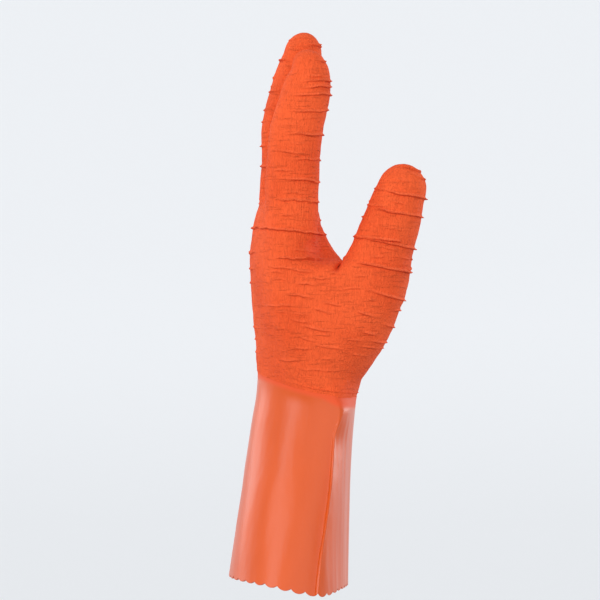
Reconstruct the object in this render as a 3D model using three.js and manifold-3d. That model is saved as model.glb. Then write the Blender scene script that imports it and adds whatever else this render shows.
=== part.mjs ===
// A left-hand gauntlet glove of natural rubber, in the form that it has on a raised hand:
// a crinkle-coated palm with five stalls, over a smooth flared cuff with a pinked hem.
// Millimetres. +Z runs up to the fingertips, +X out of the palm, +Y towards the little finger.
// The origin is the centre of the wrist. The glove is hollow, and open at the hem.
import * as THREE from "three";
import { mergeVertices } from "three/addons/utils/BufferGeometryUtils.js";
import Module from "manifold-3d";

const wasm = await Module();
wasm.setup();

// Driving dimensions
const wall = 1.4; // rubber on its knitted backing
const neckWall = 1.2; // the cuff's thinner end, inside the coating
const lapHeight = 7; // how far that end runs up inside the coated hand
const lapGap = 0.35; // clearance between the coating and the cuff
const coatProud = 0.5; // how far the coating stands out from the smooth cuff
const rimHeight = 9.6; // lower edge of the coating, at x = 0
const armSides = { back: 23, palm: 17 }; // facets round a section, about 8 mm each at the hem
// A tooth for each facet of the hem, how far the teeth's cutter clears the wall, and its shift in facets
const pinking = { depth: 2, reach: 1.5, shift: 0.5 };
const stallSides = 16;
const liningSides = 12;
const ribWidth = 3; // foot of a crinkle
const ribRoom = 2.2; // more than any crinkle stands out from the facets
const rootGap = 0.3; // clearance between the palm and each stall
const fingerRoots = 124; // height where the finger stalls begin
const domeTurns = [32, 56, 76]; // rings of a fingertip's dome, in degrees
const rad = Math.PI / 180;

function table(names, rows) {
  return rows.map((row) => Object.fromEntries(names.map((name, i) => [name, row[i]])));
}

// The cuff and the palm are one tube of flattened sections, stacked along z.
// slope and bow tip a section and bend it: its points are at z - slope x + bow x^2.
// back and front are its ends in x, half is half its width in y, and middle is its centre in y.
// A long fold lies along each side, at x = crease. From fold to fold run two arcs, which a power of 1 makes
// half ellipses, less than 1 boxier and more than 1 leaner. dent is the depth of a valley beside the first
// fold, and droop is how much lower the section hangs at its folds.
const armNames = ["z", "slope", "bow", "back", "front", "half", "middle", "crease"];
const arm = table([...armNames, "backPower", "palmPower", "dent", "droop"], [
  [-99.2, 0.058, 0, -42.2, 26.2, 66, 0, 9.2, 0.82, 1.25, 1.6, 3.6],
  [-78, 0.066, 0, -39.4, 26.6, 61.6, 0, 11.4, 0.84, 1.25, 1.8, 2],
  [-59, 0.08, 0, -36.7, 27, 57.3, 0, 13.8, 0.86, 1.25, 2, 0.8],
  [-42, 0.11, 0, -34.4, 27.4, 53.6, 0, 15.8, 0.9, 1.25, 2, 0.2],
  [-28, 0.14, 0, -32.2, 28, 50.4, 0, 17.4, 0.94, 1.22, 1.8, 0],
  [-15, 0.18, 0.001, -30, 28.8, 47.8, 0, 18.4, 0.96, 1.16, 1.2, 0],
  [-4, 0.22, 0.002, -27.8, 29.6, 46.4, 0, 14, 0.98, 1.08, 0.4, 0],
  [3, 0.24, 0.003, -27, 30, 45.8, 0, 8, 1, 1, 0, 0],
  [9.6, 0.25, 0.003, -26.7, 30.2, 45.6, 0, 2, 1, 1, 0, 0],
  [16, 0.25, 0.003, -26.8, 31.8, 46, 0, 2, 1, 1, 0, 0],
  [26, 0.2, 0.002, -27, 33, 47.6, -0.3, -1, 1, 1, 0, 0],
  [42, 0.15, 0, -28, 23, 50.4, -0.6, -5, 0.95, 0.95, 0, 0],
  [62, 0.11, 0, -29.6, 17, 52.6, -0.9, -8, 0.92, 0.92, 0, 0],
  [84, 0.06, 0, -30.4, 13, 53, -1.1, -9, 0.9, 0.9, 0, 0],
  [100, 0.03, 0, -28.6, 10.2, 52.2, -1.2, -9.5, 0.9, 0.9, 0, 0],
  [111, 0, 0, -26.2, 8.2, 51, -1.2, -9.5, 0.9, 0.9, 0, 0],
  [117, 0, 0, -22.6, 5, 48.6, -1.2, -9.5, 0.9, 0.9, 0, 0],
  [119.4, 0, 0, -18, 0, 45, -1.2, -9.5, 0.9, 0.9, 0, 0],
]);
const foldReach = 22; // how far along a section its droop is felt
const valley = { from: 5, width: 3.5 }; // the dent's distance from the fold and its width, in x
const rimRow = 8;

// Crinkles round the palm: height, the way they face in degrees from +X, how far round they reach each way,
// and how far they stand out
const ribNames = ["at", "facing", "reach", "proud"];
const palmRibs = table(ribNames, [
  [34, -70, 110, 1],
  [52, 170, 110, 1],
  [72, -110, 120, 1],
  [92, -130, 150, 1.2],
]);

// A stall is a row of oval sections along its centre line: thick from back to palm side, and wide.
// It ends in a dome, and its ribs are placed by their share of the centre line. So is the thumb's root, where
// the palm ends and the stall begins.
const ovalNames = ["x", "y", "z", "thick", "wide"];

const stalls = {
  index: {
    dome: 12,
    rows: table(ovalNames, [
      [-6.6, -40.2, 94, 29, 24.6],
      [-6.6, -40.6, 121, 29.6, 25],
      [-5.6, -41.6, 140, 29.4, 25],
      [-3.8, -42.6, 156, 29.2, 24.8],
      [-0.4, -43.6, 169, 28.2, 24.4],
      [2, -44.4, 179, 26.4, 23.6],
      [3.4, -45.2, 190, 20.4, 20.4],
    ]),
    ribs: table(ribNames, [
      [0.36, -70, 110, 1.1],
      [0.52, -60, 100, 1],
      [0.68, -60, 110, 1],
      [0.84, -20, 110, 1.2],
      [0.93, 0, 110, 1.1],
    ]),
  },
  middle: {
    dome: 12,
    rows: table(ovalNames, [
      [-9.4, -13.4, 94, 28.6, 25],
      [-10.2, -13.4, 121, 29, 25.4],
      [-9.4, -13.4, 140, 28.4, 25.4],
      [-9.4, -13.4, 157, 28.4, 25.2],
      [-7.4, -13.4, 171, 28, 24.8],
      [-4.6, -13.4, 185, 26.4, 24],
      [-1.8, -13.4, 200, 21.4, 21.2],
    ]),
    ribs: table(ribNames, [
      [0.34, 170, 110, 1],
      [0.56, 190, 110, 1],
      [0.76, 170, 120, 1.1],
    ]),
  },
  ring: {
    dome: 12,
    rows: table(ovalNames, [
      [-9.2, 12.6, 92, 27.6, 24.4],
      [-10, 13, 121, 27.8, 24.8],
      [-9, 13.6, 140, 27.4, 24.8],
      [-7.4, 14.2, 158, 26.8, 24.4],
      [-4.4, 14.8, 174, 25.4, 23.6],
      [-1.8, 15.4, 189, 20.6, 20.4],
    ]),
    ribs: table(ribNames, [
      [0.4, 150, 120, 1],
      [0.62, 180, 120, 1.1],
      [0.82, 160, 120, 1],
    ]),
  },
  little: {
    dome: 11,
    rows: table(ovalNames, [
      [-8.8, 37.2, 86, 25.6, 21.4],
      [-8.8, 38.2, 110, 25, 22],
      [-7.4, 39.6, 130, 24.2, 22],
      [-5.2, 40.8, 148, 23, 21.4],
      [-2.8, 41.8, 162, 19, 18.8],
    ]),
    ribs: table(ribNames, [
      [0.44, 130, 120, 1],
      [0.74, 110, 120, 1.1],
    ]),
  },
  thumb: {
    root: 0.67,
    dome: 14.4,
    rows: table(ovalNames, [
      [7, -17, 19, 30, 31],
      [13, -22.6, 27, 42, 39],
      [20.4, -29.4, 38, 46, 43.4],
      [30.2, -36.4, 54, 44.4, 41.6],
      [38.2, -41.4, 70, 40.6, 37.6],
      [43.6, -44.8, 86, 35, 33.6],
      [49.2, -47.4, 104, 31.6, 30.6],
      [53.8, -49.4, 121.6, 29, 27.4],
    ]),
    ribs: table(ribNames, [
      [0.4, 0, 100, 1],
      [0.52, -20, 110, 1],
      [0.65, -10, 110, 1.3],
      [0.76, -20, 110, 1.2],
      [0.89, -20, 120, 1.3],
      [0.965, -20, 120, 1.1],
    ]),
  },
};

// The web between the index finger and the thumb
const web = {
  dome: 0,
  ribs: [],
  rows: table(ovalNames, [
    [-6, -39, 112, 22, 21],
    [-3, -39, 104, 22, 22],
    [0.8, -39, 96, 22, 25],
    [5.4, -39, 87, 22.6, 27],
    [9, -38, 79, 26, 29],
    [14, -36, 66, 30, 32],
    [18, -34, 52, 30, 32],
  ]),
};

// Any row of a table, with every column on a smooth curve through the rows that it has
function rowAt(rows, place) {
  const last = rows.length - 1;
  const i = Math.min(Math.max(Math.floor(place), 0), last - 1);
  const t = place - i;
  const made = {};
  for (const name of Object.keys(rows[0])) {
    const [a, b, c, d] = [-1, 0, 1, 2].map((k) => rows[Math.min(Math.max(i + k, 0), last)][name]);
    const bend = (2 * a - 5 * b + 4 * c - d) * t ** 2 + (3 * b - a - 3 * c + d) * t ** 3;
    made[name] = (2 * b + (c - a) * t + bend) / 2;
  }
  return made;
}

// The arm's row at a height
function armAt(z) {
  const above = arm.findIndex((row) => row.z > z);
  let low = above < 0 ? arm.length - 2 : above - 1;
  let high = low + 1;
  while (high - low > 1e-6) {
    const half = (low + high) / 2;
    if (rowAt(arm, half).z < z) low = half;
    else high = half;
  }
  return { ...rowAt(arm, high), z };
}

// How much of a rib stands at an angle: all of it where it faces, none past its reach
function ribShare(rib, angle) {
  const away = Math.abs(((angle - rib.facing + 540) % 360) - 180);
  return away < rib.reach ? Math.sqrt(Math.cos((away / rib.reach) * 90 * rad)) : 0;
}

// Places of the rings: the plain ones that no rib's foot covers, and the foot, crest and foot of each rib
function ringPlaces(plain, ribs, foot) {
  const kept = plain.filter((place) => ribs.every((rib) => Math.abs(rib.at - place) > foot * 1.5));
  for (const rib of ribs) kept.push(rib.at - foot, rib.at, rib.at + foot);
  return kept.sort((a, b) => a - b);
}

function crestAt(ribs, place) {
  return ribs.find((rib) => Math.abs(rib.at - place) < 1e-6);
}

// One of the two arcs of an arm section, its points spaced evenly, with all but the one on the fold shifted
// by a share of their spacing. side is -1 on the back and 1 on the palm. A point's own z is 1 on a fold.
function armArc(row, side, inset, count, shift) {
  const depth = (side < 0 ? row.back : row.front) - side * inset - row.crease;
  const power = side < 0 ? row.backPower : row.palmPower;
  const half = row.half - inset;
  const steps = 200;
  const fine = Array.from({ length: steps + 1 }, (_, i) => {
    const angle = (i / steps) * Math.PI;
    const x = row.crease + depth * Math.sin(angle) ** power;
    const y = row.middle + side * half * Math.cos(angle);
    const fromValley = (row.crease - valley.from - x) / valley.width;
    const dent = side < 0 && i < steps / 2 ? row.dent * Math.exp(-(fromValley ** 2)) : 0;
    return new THREE.Vector3(x, y + dent, 0);
  });
  const lengths = [0];
  for (let i = 1; i <= steps; i++) lengths.push(lengths[i - 1] + fine[i].distanceTo(fine[i - 1]));
  return Array.from({ length: count }, (_, k) => {
    const wanted = (lengths[steps] * (k && k + shift)) / count;
    const i = Math.max(lengths.findIndex((length) => length > wanted), 1);
    const share = (wanted - lengths[i - 1]) / (lengths[i] - lengths[i - 1]);
    const point = fine[i - 1].clone().lerp(fine[i], share);
    const toFold = Math.min(wanted, lengths[steps] - wanted);
    return point.setZ(Math.exp(-((toFold / foldReach) ** 2)));
  });
}

function armRing(row, inset, rib, sides = armSides, shift = 0) {
  const outline = [...armArc(row, -1, inset, sides.back, shift), ...armArc(row, 1, inset, sides.palm, shift)];
  return outline.map((point) => {
    const fold = point.z;
    const out = new THREE.Vector3(point.x - row.crease, point.y - row.middle, 0);
    const angle = Math.atan2(out.y, out.x) / rad;
    if (rib) point.addScaledVector(out.normalize(), rib.proud * ribShare(rib, angle));
    return point.setZ(row.z - row.slope * point.x + row.bow * point.x ** 2 - row.droop * fold);
  });
}

// An oval ring across a centre line, with its thickness as near to x as it can be
function ovalRing(centre, along, thick, wide, sides, rib) {
  const palmward = new THREE.Vector3(1, 0, 0).addScaledVector(along, -along.x).normalize();
  const sideways = new THREE.Vector3().crossVectors(along, palmward);
  return Array.from({ length: sides }, (_, k) => {
    const angle = (k / sides) * 360;
    const out = new THREE.Vector3()
      .addScaledVector(palmward, (thick / 2) * Math.cos(angle * rad))
      .addScaledVector(sideways, (wide / 2) * Math.sin(angle * rad));
    const proud = rib ? rib.proud * ribShare(rib, angle) : 0;
    return centre.clone().addScaledVector(out, 1 + proud / out.length());
  });
}

function solid(points, faces) {
  const geometry = mergeVertices(new THREE.BufferGeometry().setFromPoints(points).setIndex(faces), 1e-4);
  return new wasm.Manifold(
    new wasm.Mesh({
      numProp: 3,
      vertProperties: geometry.getAttribute("position").array,
      triVerts: new Uint32Array(geometry.index.array),
    }),
  );
}

// A solid through rings with the same number of points, closed by a fan at each end
function loft(rings) {
  const sides = rings[0].length;
  const ends = [rings[0], rings[rings.length - 1]];
  const centres = ends.map((ring) =>
    ring.reduce((sum, point) => sum.add(point), new THREE.Vector3()).divideScalar(sides),
  );
  const points = [...rings.flat(), ...centres];
  const [bottom, top] = [points.length - 2, points.length - 1];
  const lastRing = (rings.length - 1) * sides;
  const faces = [];
  for (let k = 0; k < sides; k++) {
    const next = (k + 1) % sides;
    faces.push(bottom, next, k, top, lastRing + k, lastRing + next);
    for (let start = 0; start < lastRing; start += sides) {
      const [a, b] = [start + k, start + next];
      faces.push(a, b, b + sides, a, b + sides, a + sides);
    }
  }
  return solid(points, faces);
}

// The arm's tube turns the other way round from the stalls, so its rings are reversed.
function armLoft(rings) {
  return loft(rings.map((ring) => [...ring].reverse()));
}

// The palm's tube from the coating's edge to the knuckles. A lining starts lower, to leave the wrist open.
function palmForm(inset) {
  const rows = arm.slice(rimRow);
  const top = rows[rows.length - 1].z;
  const ribs = inset ? [] : palmRibs;
  const heights = ringPlaces(rows.map((row) => row.z), ribs, ribWidth / 2);
  const rings = heights.map((height) => {
    const z = height < top ? height : top - inset;
    return armRing({ ...armAt(height), z }, inset, crestAt(ribs, height));
  });
  if (inset) rings.unshift(armRing({ ...arm[rimRow], z: rimHeight - wall }, inset));
  return armLoft(rings);
}

function centreLine(rows) {
  const points = rows.map((row) => new THREE.Vector3(row.x, row.y, row.z));
  return new THREE.CatmullRomCurve3(points, false, "catmullrom", 0.5);
}

function stallForm({ rows, dome, ribs }, inset) {
  const line = centreLine(rows);
  const spans = rows.length - 1;
  const sides = inset ? liningSides : stallSides;
  const shown = inset ? [] : ribs;
  const places = ringPlaces(rows.map((_, i) => i / spans), shown, ribWidth / 2 / line.getLength());
  const rings = places.map((t) => {
    const { thick, wide } = rowAt(rows, t * spans);
    const [centre, along] = [line.getPoint(t), line.getTangent(t)];
    return ovalRing(centre, along, thick - 2 * inset, wide - 2 * inset, sides, crestAt(shown, t));
  });
  const [tip, along] = [line.getPoint(1), line.getTangent(1)];
  const [thick, wide] = [rows[spans].thick - 2 * inset, rows[spans].wide - 2 * inset];
  for (const turn of dome ? domeTurns : []) {
    const share = Math.cos(turn * rad);
    const centre = tip.clone().addScaledVector(along, (dome - inset) * Math.sin(turn * rad));
    rings.push(ovalRing(centre, along, thick * share, wide * share, sides));
  }
  return loft(rings);
}

// The hand's whole form, inset from its outer face
function handForm(inset) {
  const forms = [web, ...Object.values(stalls)].map((each) => stallForm(each, inset));
  return forms.reduce((whole, form) => whole.add(form), palmForm(inset));
}

// All the space past a stall's root: above a height for a finger, square to the centre line for the thumb
function beyondRoot({ rows, root }, shift) {
  const line = centreLine(rows);
  const start = root ? line.getPoint(root) : line.getPoint(0).setZ(fingerRoots);
  const along = root ? line.getTangent(root) : new THREE.Vector3(0, 0, 1);
  start.addScaledVector(along, shift);
  const size = line.getLength();
  const end = start.clone().addScaledVector(along, size);
  return loft([start, end].map((centre) => ovalRing(centre, along, size, size, 4)));
}

function stall(each) {
  const shell = stallForm(each, 0).subtract(stallForm(each, wall));
  return shell.intersect(beyondRoot(each, rootGap / 2));
}

function palm() {
  const hand = handForm(0).subtract(handForm(wall));
  return Object.values(stalls).reduce((form, each) => {
    const grown = stallForm(each, -ribRoom);
    return form.subtract(grown.intersect(beyondRoot(each, -rootGap / 2)));
  }, hand);
}

// A band round the hem whose upper edge runs in zigzags, to cut the teeth with
function pinkedBand() {
  const sides = { back: armSides.back * 2, palm: armSides.palm * 2 };
  const zigzag = (k) => (k % 2 ? pinking.depth : 0);
  const straight = () => -3 * pinking.depth;
  const ring = (inset, rise) =>
    armRing(arm[0], inset, null, sides, pinking.shift).map((point, k) => point.setZ(point.z + rise(k)));
  const [outside, inside] = [coatProud - pinking.reach, coatProud + wall + pinking.reach];
  const corners = [[outside, zigzag], [inside, zigzag], [inside, straight], [outside, straight]];
  const rings = corners.map(([inset, rise]) => ring(inset, rise));
  const count = rings[0].length;
  const faces = [];
  for (let i = 0; i < rings.length; i++) {
    for (let k = 0; k < count; k++) {
      const [a, b] = [i * count + k, i * count + ((k + 1) % count)];
      const [c, d] = [a, b].map((corner) => (corner + count) % (count * rings.length));
      faces.push(a, d, b, a, c, d);
    }
  }
  return solid(rings.flat(), faces);
}

// The cuff: a pinked hem, a flared tube with a fold along each side, and a neck inside the coating
function smoothCuff() {
  const rows = arm.slice(0, rimRow);
  const shoulder = { ...arm[rimRow], z: rimHeight - lapGap };
  const neckTop = { ...arm[rimRow], z: rimHeight + lapHeight };
  const neckInset = wall + lapGap;
  const outer = armLoft([
    armRing({ ...rows[0], z: rows[0].z - pinking.depth }, coatProud),
    ...rows.slice(1).map((row) => armRing(row, coatProud)),
    armRing(shoulder, coatProud),
    armRing(shoulder, neckInset),
    armRing(neckTop, neckInset),
  ]);
  const bore = armLoft([
    armRing({ ...rows[0], z: rows[0].z - 2 * pinking.depth }, coatProud + wall),
    ...rows.slice(1).map((row) => armRing(row, coatProud + wall)),
    armRing({ ...shoulder, z: rimHeight - neckWall }, neckInset + neckWall),
    armRing({ ...neckTop, z: neckTop.z + wall }, neckInset + neckWall),
  ]);
  return outer.subtract(bore).subtract(pinkedBand());
}

const part = new THREE.Group();

function place(name, manifold, color, roughness) {
  const { vertProperties, triVerts } = manifold.getMesh();
  const geometry = new THREE.BufferGeometry();
  geometry.setAttribute("position", new THREE.BufferAttribute(vertProperties, 3));
  geometry.setIndex(new THREE.BufferAttribute(triVerts, 1));
  const mesh = new THREE.Mesh(geometry, new THREE.MeshStandardMaterial({ color, roughness, metalness: 0 }));
  mesh.name = name;
  part.add(mesh);
}

place("crinkled_palm", palm(), 0xec5f35, 0.85);
for (const [name, each] of Object.entries(stalls)) place(`${name}_stall`, stall(each), 0xec5f35, 0.85);
place("smooth_cuff", smoothCuff(), 0xe76539, 0.45);

export default part;
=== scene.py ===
import math
import random

import bmesh
import bpy
import numpy as np
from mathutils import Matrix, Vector, noise
from mathutils.bvhtree import BVHTree


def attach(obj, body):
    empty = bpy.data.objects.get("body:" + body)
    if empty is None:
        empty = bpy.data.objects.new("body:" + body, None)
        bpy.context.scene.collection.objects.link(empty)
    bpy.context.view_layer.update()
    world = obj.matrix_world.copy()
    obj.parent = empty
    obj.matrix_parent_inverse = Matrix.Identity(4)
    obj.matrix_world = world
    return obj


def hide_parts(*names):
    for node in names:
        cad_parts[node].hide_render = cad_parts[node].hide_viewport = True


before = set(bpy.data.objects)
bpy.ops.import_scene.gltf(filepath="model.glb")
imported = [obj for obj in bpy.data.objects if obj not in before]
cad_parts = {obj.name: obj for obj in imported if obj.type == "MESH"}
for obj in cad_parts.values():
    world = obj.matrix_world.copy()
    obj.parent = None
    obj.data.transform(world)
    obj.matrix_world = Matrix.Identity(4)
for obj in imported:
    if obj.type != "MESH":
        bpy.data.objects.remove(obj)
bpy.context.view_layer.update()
print("frame loaded:", sorted(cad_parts))

mm = 0.001
rad = math.radians(1)


# Tables and smooth curves through them


def table(names, rows):
    return [dict(zip(names.split(), row)) for row in rows]


# Any row of a table, with every column on a smooth curve through the rows that it has
def rowAt(rows, place):
    last = len(rows) - 1
    i = min(max(math.floor(place), 0), last - 1)
    t = place - i
    before, low, high, after = (rows[min(max(i + k, 0), last)] for k in (-1, 0, 1, 2))
    made = {}
    for name in rows[0]:
        a, b, c, d = before[name], low[name], high[name], after[name]
        bend = (2 * a - 5 * b + 4 * c - d) * t**2 + (3 * b - a - 3 * c + d) * t**3
        made[name] = (2 * b + (c - a) * t + bend) / 2
    return made


# The row at a height, on the same curve
def rowAtHeight(rows, z):
    low = max([i for i, row in enumerate(rows[:-1]) if row["z"] <= z], default=0)
    high = low + 1
    while high - low > 1e-6:
        half = (low + high) / 2
        if rowAt(rows, half)["z"] < z:
            low = half
        else:
            high = half
    return {**rowAt(rows, high), "z": z}


def smoothStep(low, high, value):
    share = np.clip((value - low) / (high - low), 0, 1)
    return share * share * (3 - 2 * share)


# Helpers for modelling


# Only this piece is selected, and it is the active one
def focus(piece):
    bpy.ops.object.select_all(action="DESELECT")
    piece.select_set(True)
    bpy.context.view_layer.objects.active = piece


# Edit mode, with all of the piece selected or none of it
def edit(piece, action="SELECT"):
    focus(piece)
    bpy.ops.object.mode_set(mode="EDIT")
    bpy.ops.mesh.select_all(action=action)


def endEdit():
    bpy.ops.object.mode_set(mode="OBJECT")


def applyModifier(piece, kind, **settings):
    focus(piece)
    modifier = piece.modifiers.new(kind.title(), kind)
    for name, value in settings.items():
        setattr(modifier, name, value)
    bpy.ops.object.modifier_apply(modifier=modifier.name)


def readVertices(piece):
    places = np.empty(len(piece.data.vertices) * 3)
    piece.data.vertices.foreach_get("co", places)
    return places.reshape(-1, 3)


def readNormals(piece):
    normals = np.empty(len(piece.data.vertices) * 3)
    piece.data.vertices.foreach_get("normal", normals)
    return normals.reshape(-1, 3)


def writeVertices(piece, places):
    piece.data.vertices.foreach_set("co", places.ravel())
    piece.data.update()


# The pieces after the first become part of it
def joinPieces(pieces):
    bpy.ops.object.select_all(action="DESELECT")
    for piece in pieces:
        piece.select_set(True)
    bpy.context.view_layer.objects.active = pieces[0]
    bpy.ops.object.join()


def turnFacesOut(piece):
    edit(piece)
    bpy.ops.mesh.normals_make_consistent(inside=False)
    endEdit()


# Joins the two open edges of a shell
def bridgeOpenEdges(piece):
    edit(piece, "DESELECT")
    bpy.ops.mesh.select_mode(type="EDGE")
    others = ("use_wire", "use_multi_face", "use_non_contiguous", "use_verts")
    bpy.ops.mesh.select_non_manifold(**dict.fromkeys(others, False))
    bpy.ops.mesh.bridge_edge_loops()
    endEdit()


def shadeSmooth(piece, sharpAngle):
    focus(piece)
    bpy.ops.object.shade_smooth_by_angle(angle=sharpAngle * rad)


# Noise at each place, in lumps of about one size
def noiseAt(places, size):
    return np.array([noise.noise(Vector(place) / size) for place in places])


# A tube through rings of points in millimetres: a circle extruded once for each ring, then fitted to them
def tube(name, rings, closed):
    sides = len(rings[0])
    bpy.ops.object.select_all(action="DESELECT")
    bpy.ops.mesh.primitive_circle_add(vertices=sides, radius=1, location=(0, 0, 0))
    piece = bpy.context.object
    piece.name = name
    edit(piece)
    for _ in rings[1:]:
        bpy.ops.mesh.extrude_region_move(TRANSFORM_OT_translate={"value": (0, 0, 1)})
    endEdit()

    places = readVertices(piece)
    row = np.rint(places[:, 2]).astype(int)
    turn = np.arctan2(places[:, 1], places[:, 0]) / (2 * math.pi)
    column = np.rint(turn * sides).astype(int) % sides
    writeVertices(piece, np.array(rings)[row, column] * mm)

    if closed:
        edit(piece)
        bpy.ops.mesh.fill_holes(sides=0)
        endEdit()
        turnFacesOut(piece)
    return piece


# The arm: the cuff and the palm are one tube of flattened sections, stacked along z


# slope and bow tip a section and bend it. back and front are its ends in x, half is half its width, and
# middle its centre in y. A fold lies along each side at x = crease, and two arcs run from fold to fold,
# half ellipses where their power is 1. dent is the depth of the valley beside the fold on the thumb's side,
# and droop is how far the folds hang down.
arm = table("z slope bow back front half middle crease backPower palmPower dent droop", [
    [-98.2, 0.085, 0, -41, 26.2, 66, 0, 8, 0.68, 1.5, 2, 3],
    [-78, 0.08, 0, -38.4, 26.6, 61.6, 0, 10.2, 0.72, 1.6, 2.2, 1.8],
    [-59, 0.085, 0, -36.4, 27, 57.3, 0, 13.2, 0.8, 1.75, 2.4, 0.8],
    [-42, 0.11, 0, -34.4, 27.4, 53.6, 0, 15.4, 0.9, 1.85, 2.3, 0.2],
    [-28, 0.14, 0, -32.2, 28, 50.4, 0, 16.5, 0.94, 1.8, 1.6, 0],
    [-15, 0.18, 0.001, -30, 28.8, 47.8, 0, 17.3, 0.98, 1.65, 0.8, 0],
    [-4, 0.22, 0.002, -27.8, 29.6, 46.4, 0, 19.4, 1, 1.3, 0.2, 0],
    [3, 0.24, 0.003, -27, 30.2, 45.8, 0, 19.6, 1, 1.08, 0, 0],
    [9.6, 0.25, 0.003, -26.7, 31, 45.6, 0, 16, 1, 1, 0, 0],
    [16, 0.25, 0.003, -26.8, 33, 46, 0, 11, 1, 1, 0, 0],
    [26, 0.2, 0.002, -27, 33, 47.6, -0.3, 3.4, 1, 1, 0, 0],
    [42, 0.15, 0, -28, 23, 50.4, -0.6, -5, 0.95, 0.95, 0, 0],
    [62, 0.11, 0, -29.6, 17, 52.6, -0.9, -8, 0.92, 0.92, 0, 0],
    [84, 0.06, 0, -30.4, 13, 53, -1.1, -9, 0.9, 0.9, 0, 0],
    [100, 0.03, 0, -28.6, 10.2, 52.2, -1.2, -9.5, 0.9, 0.9, 0, 0],
    [111, 0, 0, -26.2, 8.2, 51, -1.2, -9.5, 0.9, 0.9, 0, 0],
    [117, 0, 0, -22.6, 5, 48.6, -1.2, -9.5, 0.9, 0.9, 0, 0],
    [119.4, 0, 0, -18, 0, 45, -1.2, -9.5, 0.9, 0.9, 0, 0],
])
rimRow = arm[8]  # the section at the coating's edge
section = {
    "steps": 480,  # the fine steps that an arc's length is measured by
    "droopReach": 22,  # how far along a section its droop is felt
    "dentWidth": 6.5,  # how far the valley reaches from the fold, in x
    "dentEdge": 0.7,  # and how steeply it rises to the fold
}
glove = {
    "wall": 1.4,
    "rimHeight": 9.6,  # lower edge of the coating, at x = 0
    "coatProud": 0.5,  # how far the coating stands out from the cuff
    "lapGap": 0.35,
    "lapHeight": 7,  # how far the cuff's end runs up inside the coated hand
    "neckWall": 1.2,
    "bowFade": (14, 40),  # heights over which the coating's skin loses the bow of its edge
}


# One of a section's two arcs, as evenly spaced points with their distance from the nearer fold.
# side is -1 for the back and 1 for the palm, and crowding above 0 brings the points closer near the folds.
def armArc(row, side, inset, count, crowding):
    angle = np.linspace(0, math.pi, section["steps"] + 1)
    depth = (row["back"] if side < 0 else row["front"]) - side * inset - row["crease"]
    power = row["backPower"] if side < 0 else row["palmPower"]
    x = row["crease"] + depth * np.sin(angle).clip(0) ** power
    y = row["middle"] + side * (row["half"] - inset) * np.cos(angle)
    if side < 0:
        fromFold = row["crease"] - x
        hollow = np.exp(-((fromFold / section["dentWidth"]) ** 2))
        hollow *= 1 - np.exp(-((fromFold / section["dentEdge"]) ** 2))
        y += row["dent"] * hollow * (angle < math.pi / 2)
    lengths = np.concatenate([[0], np.cumsum(np.hypot(np.diff(x), np.diff(y)))])
    share = np.arange(count) / count
    wanted = lengths[-1] * (share - crowding * np.sin(2 * math.pi * share) / (2 * math.pi))
    toFold = np.minimum(wanted, lengths[-1] - wanted)
    return np.interp(wanted, lengths, x), np.interp(wanted, lengths, y), toFold


# A whole section, as points around it: first the back, from the fold on the thumb's side, then the palm
def armRing(row, inset, sides):
    back = armArc(row, -1, inset, sides["back"], sides["crowding"])
    palm = armArc(row, 1, inset, sides["palm"], sides["crowding"])
    x, y, toFold = (np.concatenate(both) for both in zip(back, palm))
    droop = row["droop"] * np.exp(-((toFold / section["droopReach"]) ** 2))
    z = row["z"] - row["slope"] * x + row["bow"] * x**2 - droop
    return np.stack([x, y, z], axis=1)


# The hand's forms, fused into one skin


# A stall is a row of oval sections along its centre line: thick from back to palm side, and wide
stalls = {
    "index": {"dome": 8, "rows": table("x y z thick wide", [
        [-6.6, -40.2, 94, 29, 24.6],
        [-6.6, -40.6, 121, 29.6, 25],
        [-5.6, -41.6, 140, 29.4, 25],
        [-3.8, -42.6, 156, 29.2, 24.8],
        [-0.4, -43.6, 169, 28.2, 24.4],
        [2, -44.4, 179, 26, 23.6],
        [3.2, -45, 187, 22.6, 21.4],
        [2.6, -45.2, 192, 18.4, 18.6],
    ])},
    "middle": {"dome": 12, "rows": table("x y z thick wide", [
        [-9.4, -13.4, 94, 28.6, 25],
        [-10.2, -13.4, 121, 29, 25.4],
        [-9.4, -13.4, 140, 28.4, 25.4],
        [-9.4, -13.4, 157, 28.4, 25.2],
        [-7.2, -13.4, 171, 27, 24.8],
        [-3.4, -13.4, 185, 26.4, 24],
        [-1.2, -13.4, 194, 24.4, 22.4],
        [-0.4, -13.4, 200, 20.8, 20.6],
    ])},
    "ring": {"dome": 12, "rows": table("x y z thick wide", [
        [-9.2, 12.6, 92, 27.6, 24.4],
        [-10, 13, 121, 27.8, 24.8],
        [-9, 13.6, 140, 27.4, 24.8],
        [-7.4, 14.2, 158, 26.8, 24.4],
        [-4.4, 14.8, 174, 25.4, 23.6],
        [-1.8, 15.4, 189, 20.6, 20.4],
    ])},
    "little": {"dome": 11, "rows": table("x y z thick wide", [
        [-8.8, 37.2, 86, 25.6, 21.4],
        [-8.8, 38.2, 110, 25, 22],
        [-7.4, 39.6, 130, 24.2, 22],
        [-5.2, 40.8, 148, 23, 21.4],
        [-2.8, 41.8, 162, 19, 18.8],
    ])},
    "thumb": {"dome": 14.4, "rows": table("x y z thick wide", [
        [7, -17, 19, 38, 31],
        [13, -22.6, 27, 52, 39],
        [20.4, -29.4, 38, 50, 43.4],
        [30.2, -36.4, 54, 44.4, 41.6],
        [38.2, -41.4, 70, 40.6, 37.6],
        [43.6, -44.8, 86, 35, 33.6],
        [49.2, -47.4, 104, 31.6, 30.6],
        [54.7, -49.4, 121.6, 27, 26.6],
    ])},
}
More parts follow.
